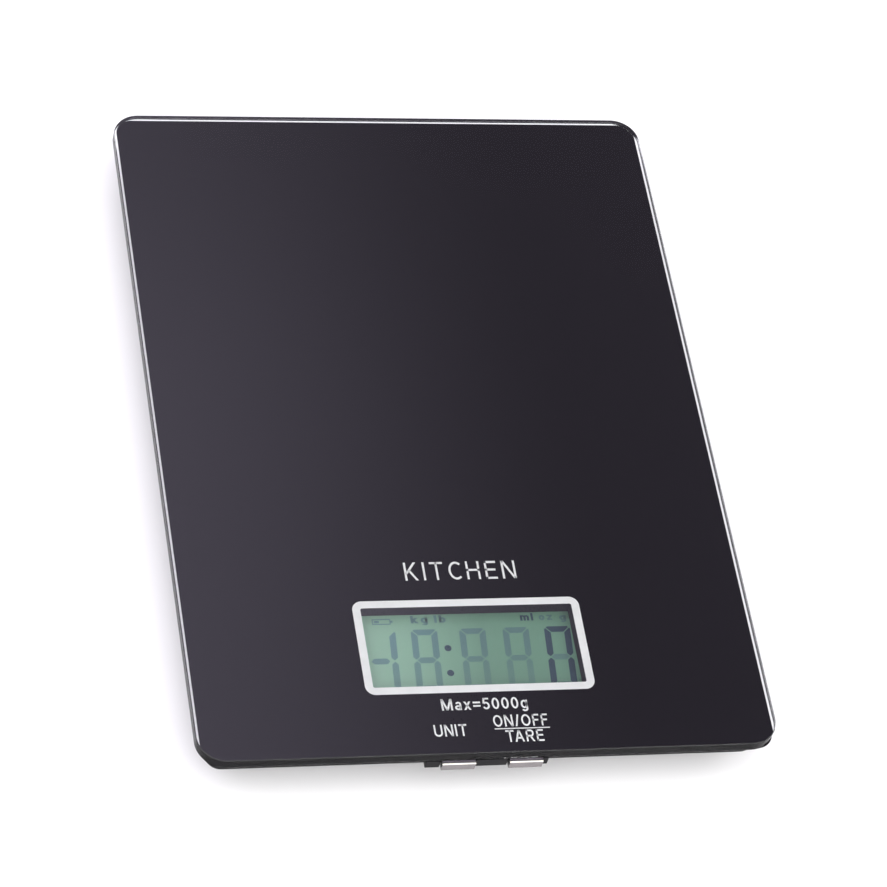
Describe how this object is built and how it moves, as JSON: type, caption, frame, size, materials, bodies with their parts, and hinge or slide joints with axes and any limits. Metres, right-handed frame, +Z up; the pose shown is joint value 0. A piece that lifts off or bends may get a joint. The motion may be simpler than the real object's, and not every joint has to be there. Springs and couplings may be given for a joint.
{
  "type": "kitchen scale",
  "caption": "Slim kitchen scale with a black-backed glass platform over a display window, satin front-edge keys, a plastic base on rubber feet and a coin-cell door below.",
  "frame": {"origin": "on the table, under the centre of the platform", "axes": "+X to the user's right, +Y from the keys at the front to the back, +Z up"},
  "size_m": [0.142, 0.1948, 0.016],
  "materials": {
    "tempered_glass": "clear tempered glass, black printing on its back, ground and polished edge",
    "foam_pad": "white adhesive foam",
    "plated_steel": "zinc-plated pressed steel",
    "screw_steel": "nickel-plated steel",
    "cell_aluminium": "machined aluminium",
    "gauge_coating": "white silicone coating",
    "wire_sleeve": "PVC insulated wire, red, black, white and green",
    "black_plastic": "fine-textured black ABS",
    "foot_rubber": "matt black rubber",
    "display_glass": "grey-green reflective liquid crystal display",
    "zebra_rubber": "striped conductive elastomer",
    "circuit_board": "green solder mask on glass-fibre board",
    "black_resin": "black potting resin",
    "component_body": "surface-mounted components",
    "white_plastic": "white nylon",
    "satin_silver": "satin silver plating on ABS",
    "coin_steel": "stainless steel can",
    "contact_metal": "nickel-plated spring steel"
  },
  "bodies": {
    "base": {"load_cell": "cell_aluminium", "strain_gauges": "gauge_coating", "cell_spacer_lower": "cell_aluminium", "cell_screws": "screw_steel", "cell_wires": "wire_sleeve", "base_shell": "black_plastic", "top_cover": "black_plastic", "case_screws": "screw_steel", "foot_front_left": "foot_rubber", "foot_front_right": "foot_rubber", "foot_back_left": "foot_rubber", "foot_back_right": "foot_rubber", "lcd_panel": "display_glass", "lcd_holder": "black_plastic", "zebra_strips": "zebra_rubber", "main_board": "circuit_board", "board_screws": "screw_steel", "chip_cover": "black_resin", "board_components": "component_body", "switch_unit": "black_plastic", "switch_tare": "black_plastic", "button_bracket": "black_plastic", "coin_cell": "coin_steel", "contact_positive": "contact_metal", "contact_negative": "contact_metal", "battery_leads": "wire_sleeve"},
    "platform": {"glass_platform": "tempered_glass", "glass_pads": "foam_pad", "platform_carrier": "plated_steel", "carrier_screws": "screw_steel", "cell_spacer_upper": "cell_aluminium"},
    "unit_key": {"unit_button": "satin_silver", "plunger_unit": "white_plastic"},
    "tare_key": {"tare_button": "satin_silver", "plunger_tare": "white_plastic"},
    "door": {"battery_door": "black_plastic"}
  },
  "joints": [
    {"name": "platform_weighing", "type": "slide", "parent": "base", "child": "platform", "axis": [0, 0, -1], "range_m": [0, 0.0003], "stiffness_N_per_m": 160000, "deforming": ["load_cell"]},
    {"name": "unit_key_press", "type": "slide", "parent": "base", "child": "unit_key", "axis": [0, 1, 0], "range_m": [0, 0.0006], "stiffness_N_per_m": 3000},
    {"name": "tare_key_press", "type": "slide", "parent": "base", "child": "tare_key", "axis": [0, 1, 0], "range_m": [0, 0.0006], "stiffness_N_per_m": 3000},
    {"name": "battery_door_hinge", "type": "hinge", "parent": "base", "child": "door", "pos_m": [0, -0.014, 0.0021], "axis": [1, 0, 0], "range_deg": [0, 100]}
  ]
}
